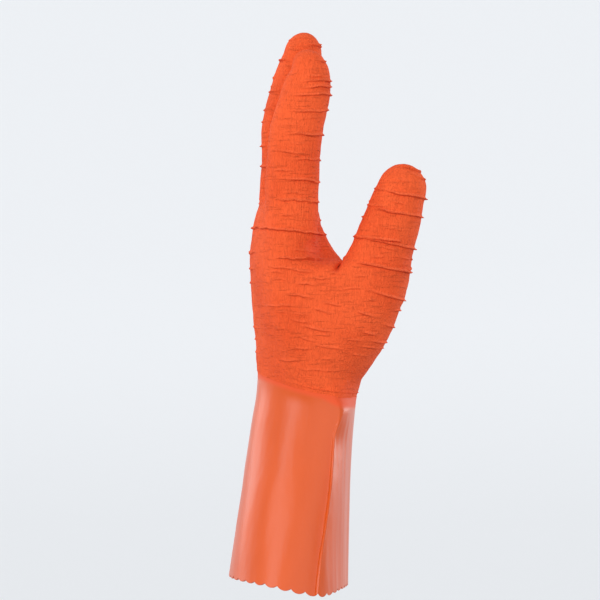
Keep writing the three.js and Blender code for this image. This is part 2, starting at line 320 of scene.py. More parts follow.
# The web between the index finger and the thumb
web = {"dome": 0, "rows": table("x y z thick wide", [
    [-6, -31, 112, 22, 18],
    [-3, -27, 104, 22, 16],
    [0.8, -23, 96, 22, 15],
    [5.4, -21, 87, 22.6, 15],
    [9, -23, 79, 26, 18],
    [14, -30, 66, 30, 28],
    [18, -34, 52, 30, 32],
])}
skin = {
    "palmSides": {"back": 60, "palm": 60, "crowding": 0},
    "palmFoot": -8,  # the palm's form starts below the coating's edge, and is cut off at it
    "stallSides": 40,
    "ringSpacing": 2.5,
    "domeTurns": (12, 24, 36, 47, 57, 66, 74, 81),  # a dome's rings, by how far they turn in over the tip
    "outerVoxel": 1.5,
    "innerVoxel": 2.6,
    "smoothing": 7,
    "smoothFactor": 0.5,
    "swell": 0.25,  # makes up for what smoothing takes off
    "blendRounds": 40,  # extra smoothing where the thumb's root runs into the palm
    "blendRise": (2, 14),  # the heights over which that comes in
    "blendFall": (78, 108),
    "crotch": (22, -38, 86),  # kept sharp, between the thumb and the index finger
    "crotchReach": 22,
    "sharpAngle": 65,
}
# Where the skin is drawn tight from the palm's side to the thumb's root, by height and then in x
span = {
    "from": 8,
    "full": 22,
    "fading": 79,
    "to": 84,
    "spacing": 2.5,
    "left": -45,
    "right": 80,
    "facing": (-0.1, 0.25),  # how far the skin has to face the thumb's side
}


# The tight line round the outside of a slice of points, on the side towards -Y
def tightLine(points):
    line = []
    for x, y in sorted(points):
        while len(line) > 1:
            (x0, y0), (x1, y1) = line[-2:]
            if (x1 - x0) * (y - y0) - (y1 - y0) * (x - x0) > 0:
                break
            line.pop()
        line.append((x, y))
    return line


def spanRoots(piece):
    places = readVertices(piece) / mm
    normals = readNormals(piece)
    xs = np.arange(span["left"], span["right"] + 1)
    heights = np.arange(span["from"], span["to"] + span["spacing"], span["spacing"])
    lines = []
    for z in heights:
        near = (np.abs(places[:, 2] - z) < span["spacing"] / 2) & (normals[:, 1] < 0)
        lines.append(np.interp(xs, *zip(*tightLine(places[near][:, :2].tolist()))))
    lines = np.array(lines)
    row = ((places[:, 2] - span["from"]) / span["spacing"]).clip(0, len(heights) - 1.001)
    column = (places[:, 0] - span["left"]).clip(0, len(xs) - 1.001)
    low, left = row.astype(int), column.astype(int)
    up, along = row - low, column - left
    tight = (lines[low, left] * (1 - along) + lines[low, left + 1] * along) * (1 - up)
    tight += (lines[low + 1, left] * (1 - along) + lines[low + 1, left + 1] * along) * up
    share = smoothStep(span["from"], span["full"], places[:, 2])
    share *= 1 - smoothStep(span["fading"], span["to"], places[:, 2])
    share *= smoothStep(*span["facing"], -normals[:, 1])
    places[:, 1] += share * np.minimum(tight - places[:, 1], 0)
    writeVertices(piece, places * mm)


def alongLine(rows, place):
    ahead, behind = rowAt(rows, place + 0.01), rowAt(rows, place - 0.01)
    return Vector([ahead[name] - behind[name] for name in "xyz"]).normalized()


def ovalRing(centre, along, thick, wide):
    palmward = Vector((1, 0, 0)) - along * along.x
    palmward.normalize()
    sideways = along.cross(palmward)
    angle = np.linspace(0, 2 * math.pi, skin["stallSides"], endpoint=False)[:, None]
    out = thick / 2 * np.cos(angle) * np.array(palmward) + wide / 2 * np.sin(angle) * np.array(sideways)
    return np.array(centre) + out


def stallForm(name, each, inset):
    rows = each["rows"]
    spans = len(rows) - 1
    length = sum(math.dist([a[n] for n in "xyz"], [b[n] for n in "xyz"]) for a, b in zip(rows, rows[1:]))
    count = round(length / skin["ringSpacing"])
    rings = []
    for k in range(count + 1):
        place = spans * k / count
        row = rowAt(rows, place)
        centre = Vector([row[n] for n in "xyz"])
        along = alongLine(rows, place)
        thick = row["thick"] - 2 * inset
        wide = row["wide"] - 2 * inset
        rings.append(ovalRing(centre, along, thick, wide))
    for turn in skin["domeTurns"] if each["dome"] else ():
        share = math.cos(turn * rad)
        top = centre + along * (each["dome"] - inset) * math.sin(turn * rad)
        rings.append(ovalRing(top, along, thick * share, wide * share))
    return tube(name, rings, closed=True)


def palmForm(inset):
    top = arm[-1]["z"]
    heights = np.append(np.arange(skin["palmFoot"], top, skin["ringSpacing"]), top)
    rings = [armRing(rowAtHeight(arm, z), inset, skin["palmSides"]) for z in heights]
    rings[-1][:, 2] -= inset
    return tube("palm_form", rings, closed=True)


# Smooths the palm and the thumb's root more than the stalls
def blendRoots(piece):
    places = readVertices(piece) / mm
    share = smoothStep(*skin["blendRise"], places[:, 2])
    share *= 1 - smoothStep(*skin["blendFall"], places[:, 2])
    toCrotch = np.linalg.norm(places - np.array(skin["crotch"]), axis=1)
    share *= smoothStep(skin["crotchReach"] / 3, skin["crotchReach"], toCrotch)
    group = piece.vertex_groups.new(name="roots")
    for tenth in range(1, 11):
        chosen = np.flatnonzero(np.rint(share * 10) == tenth)
        group.add(chosen.tolist(), tenth / 10, "REPLACE")
    applyModifier(
        piece,
        "SMOOTH",
        factor=skin["smoothFactor"],
        iterations=skin["blendRounds"],
        vertex_group="roots",
    )
    piece.vertex_groups.clear()


# The coating's edge is a tilted plane here, and gets its bow afterwards.
def handSkin(inset, voxel):
    forms = [palmForm(inset), stallForm("web_form", web, inset)]
    forms += [stallForm(name + "_form", each, inset) for name, each in stalls.items()]
    joinPieces(forms)
    piece = forms[0]
    applyModifier(piece, "REMESH", mode="VOXEL", voxel_size=voxel * mm, use_smooth_shade=True)
    applyModifier(piece, "SMOOTH", factor=skin["smoothFactor"], iterations=skin["smoothing"])
    spanRoots(piece)
    blendRoots(piece)

    edit(piece)
    bpy.ops.mesh.bisect(
        plane_co=(0, 0, glove["rimHeight"] * mm),
        plane_no=(rimRow["slope"], 0, 1),
        clear_inner=True,
    )
    endEdit()
    return piece


def bowRim(places):
    share = 1 - smoothStep(*glove["bowFade"], places[:, 2] / mm)
    places[:, 2] += rimRow["bow"] * (places[:, 0] / mm) ** 2 * share * mm


# Crinkles: thin fins that stand on the skin, cut into it as rows of edges and then raised


# A crinkle seen in the picture runs from x0, z0 to x1, z1 on the thumb's side, and stands proud by the last
# column. Where an end lies beyond the outline it runs on round the far side.
seenColumns = "x0 z0 x1 z1 proud"
seenCrinkles = {
    "index": table(seenColumns, [
        [4, 193.6, 16, 193, 0.8],
        [1, 184.7, 12, 185.3, 0.5],
        [-2, 181.4, 20, 183, 0.9],
        [-3.1, 177.8, 20, 179.6, 0.9],
        [-7.6, 174, 20, 175, 1],
        [-8.7, 165.3, 20, 166, 0.9],
        [-3.1, 161.4, 8.6, 161.4, 0.4],
        [-8.7, 152.5, 18, 152.4, 1],
        [-17.6, 143.9, 4.7, 140.5, 0.6],
        [-8.7, 138.6, 18, 138, 0.7],
        [-17.8, 132.4, -4.8, 132, 0.5],
        [-13.1, 127.7, 18, 125.5, 0.9],
        [-3.7, 122.7, 4.1, 122.7, 0.3],
        [-12, 158, -2, 157.6, 0.25],
        [-10, 147.6, 4, 147, 0.25],
        [-14, 120, 4, 118.6, 0.3],
    ]),
    "middle": table(seenColumns, [
        [0, 205, 14, 203.4, 0.9],
        [-8, 207.6, 2, 208.4, 0.4],
        [-30, 196.6, -6, 195.8, 0.8],
        [-30, 185.8, -15, 186, 0.6],
        [-30, 181.2, -17, 181.2, 0.5],
        [-30, 177.8, -13, 178.6, 0.8],
        [-32, 168.1, -19, 168, 0.7],
        [-32, 161.3, -20, 161.3, 0.6],
        [-34, 147.7, -20, 147.5, 0.9],
        [-34, 136.2, -18, 135.8, 0.9],
    ]),
    "thumb": table(seenColumns, [
        [52, 135.2, 72, 129, 0.8],
        [60.2, 129.5, 74, 124.6, 0.9],
        [34, 123.4, 50, 119.8, 0.5],
        [44.6, 120.6, 80, 114.6, 1.2],
        [26, 114.6, 50, 110.6, 0.5],
        [40.2, 110.6, 78, 104.2, 1.3],
        [20, 97.6, 42, 93.4, 0.6],
        [35.2, 94, 72, 86.6, 1.2],
        [35.7, 84, 45.7, 84, 0.4],
        [31.3, 80.6, 72, 73.6, 1.5],
        [48, 127.6, 60, 125, 0.3],
        [46, 115.6, 58, 112.6, 0.3],
        [42, 101, 58, 98.6, 0.35],
        [38.7, 90.4, 54.4, 87, 0.4],
        [50, 84.4, 72, 80.6, 0.4],
    ]),
    "palm": table(seenColumns, [
        [-13.1, 116.1, 8, 114.8, 0.7],
        [-13.1, 107.4, -3.7, 107.4, 0.5],
        [-40, 102.2, 9.7, 97.1, 1.2],
        [-42, 117.6, -24, 117.4, 0.8],
        [-42, 114.8, -22, 114.6, 0.6],
        [-6.5, 88, 8, 86.8, 0.3],
        [-14.2, 83.5, 13, 82.3, 1],
        [-18.2, 79, 4.6, 75.7, 0.6],
        [-19, 76.3, -11, 75.2, 0.45],
        [-18, 72.5, -8, 70.9, 0.45],
        [-5, 69, 9.1, 68.4, 0.65],
        [4.4, 72.4, 15.3, 72.2, 0.5],
        [13.6, 74.7, 22, 74.3, 0.6],
        [26.9, 73, 37.4, 73.6, 0.4],
        [-9.8, 64, 6.5, 60.7, 0.65],
        [9.7, 58.7, 23.4, 57, 0.5],
        [-22, 57, -4.7, 57, 0.5],
        [4.9, 55.6, 17, 52.2, 0.65],
        [-16, 54.2, -8.7, 53.2, 0.3],
        [-9, 52.9, 4.1, 51.8, 0.3],
        [-8, 49.6, 5, 46.8, 0.45],
        [-1.5, 45.8, 18, 42.2, 0.75],
        [-16.5, 44.5, -10, 44.4, 0.4],
        [7.5, 41, 16.4, 40.5, 0.5],
        [-3.6, 40.2, 7, 36.8, 0.5],
        [5.2, 35.2, 24, 32, 0.65],
        [-8.5, 33.3, 7.4, 33, 0.4],
        [11.4, 27.3, 17, 27.1, 0.35],
        [-13.1, 26.3, 0.2, 26.2, 0.4],
        [-3.2, 22, 20, 19.4, 0.3],
        [18, 65.9, 34, 66.3, 0.5],
        [33, 66.5, 72, 56.2, 1.3],
        [35.4, 60.7, 40.8, 59.6, 0.5],
        [28.5, 54.1, 41, 50.2, 0.9],
        [46, 55, 72, 52.4, 0.9],
        [42, 47.4, 62, 41.8, 0.9],
        [31.4, 42.8, 42, 40.4, 0.9],
        [22.4, 38.6, 34.5, 37.5, 0.6],
        [34, 37.9, 60, 34.2, 1],
        [29.5, 34.4, 60, 28.6, 0.7],
        [24.5, 29.7, 37, 26.7, 0.5],
        [-42, 87, -27, 87, 0.8],
        [-42, 77.8, -27, 77.8, 0.5],
        [-42, 70.1, -27, 70.1, 0.5],
        [-42, 44.4, -25.5, 44.4, 0.5],
        [-42, 38, -25, 38, 0.5],
        [-42, 29.6, -24.5, 29.6, 0.4],
        [-42, 18.4, -24, 18.4, 0.8],
    ]),
}
# Crinkles on the sides away from the picture: the heights between which they lie, their spacing, the
# direction that they face in degrees from +X and its spread, how far round they reach, and how proud
# they stand
hiddenColumns = "low high spacing facing spread reach proud"
hiddenCrinkles = {
    "index": table(hiddenColumns, [[112, 196, 8, 90, 30, 50, 1]]),
    "middle": table(hiddenColumns, [[118, 204, 7, 110, 15, 50, 1.1], [122, 206, 8, 0, 40, 70, 1]]),
    "ring": table(hiddenColumns, [[118, 196, 6.4, 180, 40, 80, 1], [122, 196, 8, 10, 40, 80, 1]]),
    "little": table(hiddenColumns, [[108, 168, 6, 120, 60, 80, 1], [112, 168, 8, 0, 40, 80, 0.9]]),
    "thumb": table(hiddenColumns, [[66, 132, 6.5, 90, 50, 80, 1.1]]),
    "palm": table(hiddenColumns, [
        [24, 112, 6, 150, 6, 20, 0.9],
        [22, 112, 6.5, 125, 20, 30, 0.9],
        [30, 108, 6, 20, 20, 34, 0.8],
        [30, 112, 6, 90, 20, 40, 0.9],
    ]),
}
crinkle = {
    "rows": [-1.3, -0.55, -0.1, 0.15, 0.6, 1.15],  # a fin's rows of edges, by how far below its top
    "rise": [0, 0.3, 1, 0.85, 0, 0],
    "crest": [0, 1, 0.7, 0, 0, 0],  # painted highlight: a paler colour on the fin's upper slope, where light falls
    "shade": [0, 0, 0, 0.5, 1, 0],  # painted shade: a deeper colour on the fin's lower side
    "tint": 0.05,  # the least of either colour, and what each mm of height adds
    "crestTint": 0.75,
    "shadeTint": 0.8,
    "strength": 1.3,
    "lean": 0.1,  # how far the fin's top hangs down, as a share of how far it stands out
    "fade": 13,
    "fadeShare": 0.85,  # a short one's, as a share of its length
    "stretch": 1.2,  # a crinkle's thin ends lie a little beyond the ends in its row
    "reach": 3,
    "band": 40,  # no point of a crinkle is further than this from its middle
    "tiltBand": 0.3,  # and in height, no point of a level one than this share of it
    "merge": 0.04,  # a cut this close to a point goes through it
    "wave": 0.55,
    "waveLength": 9,
    "even": 0.85,  # the share of its height that is even, and the share that swells and sinks
    "swell": 0.7,
    "swellLength": 5,
    "noiseStep": 7.3,  # keeps the crinkles' noise apart
    "wrap": (25, 75),  # how far a crinkle runs on round the far side, in degrees
    "ballWrap": (-6, 6),  # the same for the ball of the thumb, which stands out beyond the palm
    "beyond": {"seen": 3.4, "hidden": 1.6, "stall": 1.25},  # how far out one is cut, in half sizes
    "palmTop": 118,  # the highest section of the palm that they are measured round
    "tilt": 0.12,  # how much the hidden ones vary
    "reachRange": (0.5, 1.2),
    "proudRange": (0.5, 1.15),
    "spacingRange": (0.6, 1.5),
    "seed": 6,
}
# Low lumps all over the coated skin
lumps = table("rise size", [
    [0.5, 11],
    [0.16, 3.2],
])


# The centre and half sizes of a form where a plane crosses it, to measure angles round it
def formAt(name, z):
    if name == "palm":
        row = rowAtHeight(arm, min(z, crinkle["palmTop"]))
        centre = ((row["back"] + row["front"]) / 2, row["middle"])
        return {"centre": centre, "size": ((row["front"] - row["back"]) / 2, row["half"])}
    rows = stalls[name]["rows"]
    row = rowAtHeight(rows, min(z, rows[-1]["z"]))
    return {"centre": (row["x"], row["y"]), "size": (row["thick"] / 2, row["wide"] / 2)}


def angleRound(form, x, y):
    (centreX, centreY), (sizeX, sizeY) = form["centre"], form["size"]
    return np.degrees(np.arctan2((y - centreY) / sizeY, (x - centreX) / sizeX))


# The span of angles and the plane of every crinkle that the picture shows
def placeSeen(skinTree, draw):
    rayFrom, rayLength = -0.2, 0.19
    placed = []
    for name, rows in seenCrinkles.items():
        for row in rows:
            middle = (row["z0"] + row["z1"]) / 2
            form = formAt(name, middle)
            ends = []
            for x, z, outline in ((row["x0"], row["z0"], -180), (row["x1"], row["z1"], 0)):
                hit = skinTree.ray_cast(Vector((x * mm, rayFrom, z * mm)), Vector((0, 1, 0)), rayLength)[0]
                if hit is None and outline == 0:
                    ends.append(draw.uniform(*crinkle["ballWrap" if name == "palm" else "wrap"]))
                elif hit is None:
                    ends.append(outline - draw.uniform(*crinkle["wrap"]))
                else:
                    ends.append(float(angleRound(form, hit.x / mm, hit.y / mm)))
            slope = (row["z1"] - row["z0"]) / (row["x1"] - row["x0"])
            placed.append({
                "name": name,
                "form": form,
                "point": Vector((row["x0"], 0, row["z0"])),
                "normal": Vector((-slope, 0, 1)).normalized(),
                "facing": (ends[0] + ends[1]) / 2,
                "reach": (ends[1] - ends[0]) / 2 * crinkle["stretch"],
                "proud": row["proud"],
                "beyond": crinkle["beyond"]["seen" if name == "palm" else "stall"],
            })
    return placed


def placeHidden(draw):
    step = 2  # the height over which a stall's direction is taken
    steepest = crinkle["tilt"]
    placed = []
    for name, rows in hiddenCrinkles.items():
        for row in rows:
            z = row["low"] + draw.uniform(0, row["spacing"])
            while z < row["high"]:
                form = formAt(name, z)
                along = Vector((0, 0, 1))
                if name != "palm":
                    rowsHere = stalls[name]["rows"]
                    start = min(z, rowsHere[-1]["z"] - step)
                    below = rowAtHeight(rowsHere, start)
                    above = rowAtHeight(rowsHere, start + step)
                    along = Vector([above[n] - below[n] for n in "xyz"]).normalized()
                tilt = Vector((draw.uniform(-steepest, steepest), draw.uniform(-steepest, steepest), 0))
                placed.append({
                    "name": name,
                    "form": form,
                    "point": Vector((*form["centre"], z)),
                    "normal": (along + tilt).normalized(),
                    "facing": row["facing"] + draw.uniform(-1, 1) * row["spread"],
                    "reach": row["reach"] * draw.uniform(*crinkle["reachRange"]),
                    "proud": row["proud"] * draw.uniform(*crinkle["proudRange"]),
                    "beyond": crinkle["beyond"]["hidden" if name == "palm" else "stall"],
                })
                z += row["spacing"] * draw.uniform(*crinkle["spacingRange"])
    return placed


# How much of a crinkle stands at a place on the skin, and its distance below the crinkle's plane, in mm
def crinkleShare(each, places):
    form = each["form"]
    offset = places - np.array(each["point"])
    below = -(offset @ np.array(each["normal"]))
    angle = angleRound(form, places[:, 0], places[:, 1])
    away = np.abs((angle - each["facing"] + 180) % 360 - 180)
    radius = np.hypot(places[:, 0] - form["centre"][0], places[:, 1] - form["centre"][1])
    left = (each["reach"] - away) * rad * np.minimum(radius, max(form["size"]))
    length = each["reach"] * rad * max(form["size"])
    share = smoothStep(0, min(crinkle["fade"], length * crinkle["fadeShare"]), left)
    reachX = (places[:, 0] - form["centre"][0]) / form["size"][0]
    reachY = (places[:, 1] - form["centre"][1]) / form["size"][1]
    share *= np.hypot(reachX, reachY) < each["beyond"]
    return share, below


# The coating's edge thins out to meet the cuff, and two fine beads run along it on the palm's side
rim = {
    "rows": [0.5, 1.0, 1.5, 2.1, 2.5, 2.9, 3.6],  # rows of edges, by their height above the rim
    "bead": [0, 0.2, 0, 0, 0.55, 0, 0],  # how far the skin stands out there
    "beadFrom": -10,  # in x
    "beadFull": 4,
    "edgeDrop": 0.44,
    "dropReach": 3,
    "settled": (0.5, 8),  # the heights above the rim over which crinkles come in
}


def cutRim(mesh):
    tilted = Vector((rimRow["slope"], 0, 1))
    for row in rim["rows"]:
        bmesh.ops.bisect_plane(
            mesh,
            geom=mesh.faces[:] + mesh.edges[:] + mesh.verts[:],
            dist=crinkle["merge"] * mm,
            plane_co=(0, 0, (glove["rimHeight"] + row) * mm),
            plane_no=tilted,
        )


def rimRise(places, above):
    bead = np.interp(above, rim["rows"], rim["bead"])
    bead *= smoothStep(rim["beadFrom"], rim["beadFull"], places[:, 0])
    return bead - rim["edgeDrop"] * (1 - smoothStep(0, rim["dropReach"], above))


def cutCrinkles(piece, placed):
    mesh = bmesh.new()
    mesh.from_mesh(piece.data)
    cutRim(mesh)
    for each in placed:
        tilt = abs(each["normal"].x) + abs(each["normal"].y)
        band = crinkle["band"] * (crinkle["tiltBand"] + tilt)
        low = (each["point"].z - band) * mm
        high = (each["point"].z + band) * mm
        near = [face for face in mesh.faces if low < face.verts[0].co.z < high]
        centres = np.array([tuple(face.calc_center_median()) for face in near]).reshape(-1, 3) / mm
        share, below = crinkleShare(each, centres)
        faces = [near[i] for i in np.flatnonzero((share > 0) & (np.abs(below) < crinkle["reach"]))]
        for row in crinkle["rows"]:
            edges = {edge for face in faces for edge in face.edges}
            points = {point for face in faces for point in face.verts}
            cut = bmesh.ops.bisect_plane(
                mesh,
                geom=faces + list(edges) + list(points),
                dist=crinkle["merge"] * mm,
                plane_co=(each["point"] - each["normal"] * row) * mm,
                plane_no=each["normal"],
            )
            faces = [item for item in cut["geom"] if isinstance(item, bmesh.types.BMFace)]
    bmesh.ops.triangulate(mesh, faces=[face for face in mesh.faces if len(face.verts) > 4])
    mesh.to_mesh(piece.data)
    mesh.free()


def raiseCrinkles(piece, placed):
    places = readVertices(piece) / mm
    normals = readNormals(piece)
    rise = np.zeros(len(places))
    shift = np.zeros(len(places))
    shade = np.zeros(len(places))
    crest = np.zeros(len(places))
    for number, each in enumerate(placed):
        ownNoise = number * crinkle["noiseStep"]
        share, below = crinkleShare(each, places)
        near = np.flatnonzero((share > 0) & (np.abs(below) < crinkle["reach"]))
        if not len(near):
            continue
        along = angleRound(each["form"], places[near, 0], places[near, 1]) * rad
        along *= max(each["form"]["size"])
        wave = noiseAt([(s / crinkle["waveLength"], ownNoise, 0) for s in along], 1)
        swell = noiseAt([(s / crinkle["swellLength"], ownNoise, 40) for s in along], 1)
        height = crinkle["strength"] * each["proud"] * share[near]
        height *= crinkle["even"] + crinkle["swell"] * swell
        profile = np.interp(below[near], crinkle["rows"], crinkle["rise"])
        rise[near] = np.maximum(rise[near], height * profile)
        # painted shade: a deeper colour on each fin's lower side
        under = np.interp(below[near], crinkle["rows"], crinkle["shade"])
        under *= (crinkle["tint"] + crinkle["shadeTint"] * height).clip(0, 1)
        shade[near] = np.maximum(shade[near], under * share[near])
        # painted highlight: a paler colour on each fin's upper slope
        lit = np.interp(below[near], crinkle["rows"], crinkle["crest"])
        lit *= (crinkle["tint"] + crinkle["crestTint"] * height).clip(0, 1)
        crest[near] = np.maximum(crest[near], lit * share[near])
        calm = 1 - smoothStep(crinkle["reach"] / 2, crinkle["reach"], np.abs(below[near]))
        shift[near] += crinkle["wave"] * 2 * wave * share[near] * calm
        shift[near] -= crinkle["lean"] * height * profile
    relief = sum(row["rise"] * noiseAt(places, row["size"]) for row in lumps)
    above = places[:, 2] + rimRow["slope"] * places[:, 0] - glove["rimHeight"]
    settled = smoothStep(*rim["settled"], above)
    stand = rimRise(places, above) + (rise + relief + skin["swell"]) * settled
    places += normals * stand[:, None]
    level = 1 - np.abs(normals[:, 2])
    places[:, 2] += shift * level
    places *= mm
    bowRim(places)
    writeVertices(piece, places)
    # the painted shade and painted highlight, for the crinkled rubber's colour
    for name, values in (("paintedShade", shade), ("crest", crest)):
        piece.data.attributes.new(name, "FLOAT", "POINT").data.foreach_set("value", values)


def crinkledHand():
    draw = random.Random(crinkle["seed"])
    piece = handSkin(0, skin["outerVoxel"])
    piece.name = "crinkled_hand"
    print("hand fused:", len(piece.data.polygons), "faces")
    skinMesh = bmesh.new()
    skinMesh.from_mesh(piece.data)
    skinTree = BVHTree.FromBMesh(skinMesh)
    placed = placeSeen(skinTree, draw) + placeHidden(draw)
    skinMesh.free()
    cutCrinkles(piece, placed)
    raiseCrinkles(piece, placed)
    print("crinkles raised:", len(placed), "on", len(piece.data.polygons), "faces")

    lining = handSkin(glove["wall"], skin["innerVoxel"])
    places = readVertices(lining)
    bowRim(places)
    writeVertices(lining, places)
    lining.data.flip_normals()
    joinPieces([piece, lining])
    bridgeOpenEdges(piece)
    shadeSmooth(piece, skin["sharpAngle"])
    print("hand done:", len(piece.data.polygons), "faces")
    return piece


# The cuff: one closed profile round the arm, from the hem up outside, over the neck and down inside


cuff = {
    "sides": {"back": 276, "palm": 204, "crowding": 0.7},
    "lobes": 40,
    "lobeDepth": 2.1,
    "lobeRange": (0.85, 1.12),
    "seed": 3,
    "lobePower": 0.62,  # below 1 the lobes are round and their points sharp
    "hemRows": (-2, -1.4, -0.4, 1, 2.6, 4.6),  # rows of edges, by their height above the hem
    "evenFrom": 7,  # above this they are evenly spaced
    "denseFrom": -18,  # and from this height in z twice as close
    "rowSpacing": 2.4,
    "hemFade": 9,  # how far up the lobes are felt in the rows of faces
    "edgeInsets": (0.75, 0.3),  # the hem's round edge, in shares of the wall
    "edgeDrop": 0.2,
    "foldProud": 0.5,
    "foldWidth": 0.8,
    "foldShift": 0.4,  # its crest lies on the back's side of the fold
    "foldFade": (-8, 5),  # the heights over which it ends
    "sideReach": (4, 16),  # how far from the middle in y it begins
    "streaks": 0.13,  # upright waves on the palm's side of the folds
    "streakFrom": (0.5, 3),  # how far from the fold they begin
    "streakSize": (4.5, 110),  # across and upright
    "waveWidth": 11,
    "waveReach": (2, 14),  # how far towards the thumb's side it begins
    "ripple": 0.25,
    "rippleFade": (-12, 8),
    "rippleSize": (16, 60),
    "shoulderRise": 0.25,  # how far above the coating's edge the outside ends, under it
    "neckFoot": 3,
    "sharpAngle": 50,
}
# The sharp fold that runs down each side of the cuff, in x
foldLine = table("z x", [
    [-103, 7.4],
    [-90, 8.5],
    [-77, 10.2],
    [-64, 12.4],
    [-51.5, 14.1],
    [-39, 15.7],
    [-24, 16.7],
    [-12, 17.4],
    [-2, 21.4],
    [9, 25.8],
])


# A long soft wave in the back of the cuff on the thumb's side: x at each height, and how far it stands out
softWave = table("z x rise", [
    [-103, -41, 2.9],
    [-85, -38, 2.7],
    [-68, -34, 2.2],
    [-51, -28, 1.4],
    [-35, -21, 0.5],
    [-18, -14, 0],
])


def lineAt(line, height, name="x"):
    return np.interp(height, [row["z"] for row in line], [row[name] for row in line])


def ringNoise(ring, height, across, upright):
    return noiseAt([(x / across, y / across, height / upright) for x, y, _ in ring], 1)


# How far the cuff's skin stands out from its plain section
def cuffRelief(ring, height):
    fromFold = ring[:, 0] - lineAt(foldLine, height)
    sideways = smoothStep(*cuff["sideReach"], np.abs(ring[:, 1]))
    thumbSide = smoothStep(*cuff["waveReach"], -ring[:, 1])
    fading = 1 - smoothStep(*cuff["foldFade"], height)
    ridge = cuff["foldProud"] * np.exp(-(((fromFold + cuff["foldShift"]) / cuff["foldWidth"]) ** 2))
    streaks = ringNoise(ring, height, *cuff["streakSize"])
    streaks *= cuff["streaks"] * 2 * smoothStep(*cuff["streakFrom"], fromFold)
    relief = (ridge + streaks) * sideways * fading
    away = (ring[:, 0] - lineAt(softWave, height)) / cuff["waveWidth"]
    relief += lineAt(softWave, height, "rise") * np.exp(-(away**2)) * thumbSide
    calm = 1 - smoothStep(*cuff["rippleFade"], height)
    return relief + cuff["ripple"] * 2 * ringNoise(ring, height, *cuff["rippleSize"]) * calm


def cuffRing(height, inset):
    ring = armRing(rowAtHeight(arm, height), inset, cuff["sides"])
    ahead, behind = np.roll(ring, -1, axis=0), np.roll(ring, 1, axis=0)
    run = (ahead - behind)[:, :2]
    out = np.stack([-run[:, 1], run[:, 0]], axis=1)
    out /= np.linalg.norm(out, axis=1)[:, None]
    towards = ring[:, :2] - ring[:, :2].mean(axis=0)
    out *= np.sign((out * towards).sum(axis=1))[:, None]
    ring[:, :2] += out * cuffRelief(ring, height)[:, None]
    return ring


# The hem's lobes: 0 at the bottom of a lobe, and the full depth at the points between them
def hemNotch():
    draw = random.Random(cuff["seed"])
    depths = [cuff["lobeDepth"] * draw.uniform(*cuff["lobeRange"]) for _ in range(cuff["lobes"])]
    ring = cuffRing(arm[0]["z"], glove["coatProud"])
    lengths = np.cumsum(np.linalg.norm(np.roll(ring, -1, axis=0) - ring, axis=1))
    turn = np.append(0, lengths[:-1]) / lengths[-1] * cuff["lobes"]
    lobe = np.floor(turn).astype(int)
    return np.array(depths)[lobe] * (1 - np.abs(np.sin(turn * math.pi)) ** cuff["lobePower"])


def smoothCuff():
    hem = arm[0]["z"]
    wall, proud = glove["wall"], glove["coatProud"]
    shoulder = glove["rimHeight"] + cuff["shoulderRise"]
    neckTop = glove["rimHeight"] + glove["lapHeight"]
    neckInset = wall + glove["lapGap"]
    foot, spacing = cuff["hemRows"][0], cuff["rowSpacing"]
    notch = hemNotch()

    def hemmed(height, inset, drop=0):
        ring = cuffRing(max(height, hem), inset)
        higher = cuffRing(max(height, hem) + 1, inset)
        fade = max(1 - (height - hem - foot) / cuff["hemFade"], 0)
        ring += (higher - ring) * (notch * fade + min(height - hem, 0))[:, None]
        ring[:, 2] -= drop
        return ring

    heights = [hem + row for row in cuff["hemRows"]]
    heights += list(np.arange(hem + cuff["evenFrom"], cuff["denseFrom"], spacing))
    heights += list(np.arange(cuff["denseFrom"], shoulder - 0.5, spacing / 2))
    outside = [hemmed(z, proud) for z in heights]
    neck = [
        cuffRing(shoulder, proud),
        cuffRing(shoulder, neckInset),
        cuffRing(shoulder + cuff["neckFoot"], neckInset),
        cuffRing(neckTop, neckInset),
        cuffRing(neckTop, neckInset + glove["neckWall"]),
        cuffRing(shoulder, neckInset + glove["neckWall"]),
        cuffRing(shoulder - wall, proud + wall),
    ]
    inside = [hemmed(z, proud + wall) for z in reversed(heights[::2])]
    edge = [hemmed(hem + foot, proud + wall * share, cuff["edgeDrop"]) for share in cuff["edgeInsets"]]
    piece = tube("smooth_cuff_skin", outside + neck + inside + edge, closed=False)

    bridgeOpenEdges(piece)
    turnFacesOut(piece)
    shadeSmooth(piece, cuff["sharpAngle"])
    print("cuff done:", len(piece.data.polygons), "faces")
    return piece


# Shader maths: operators on a Signal add Math nodes


class Signal:
    def __init__(self, graph, socket):
        self.graph = graph
        self.socket = socket

    def maths(self, operation, first, second=0.0):
        return self.graph.node("Math", {"operation": operation}, {0: first, 1: second})

    def __add__(self, other):
        return self.maths("ADD", self, other)

    def __radd__(self, other):
        return self.maths("ADD", other, self)

    def __sub__(self, other):
        return self.maths("SUBTRACT", self, other)

    def __rsub__(self, other):
        return self.maths("SUBTRACT", other, self)

    def __mul__(self, other):
        return self.maths("MULTIPLY", self, other)

    def __rmul__(self, other):
        return self.maths("MULTIPLY", other, self)


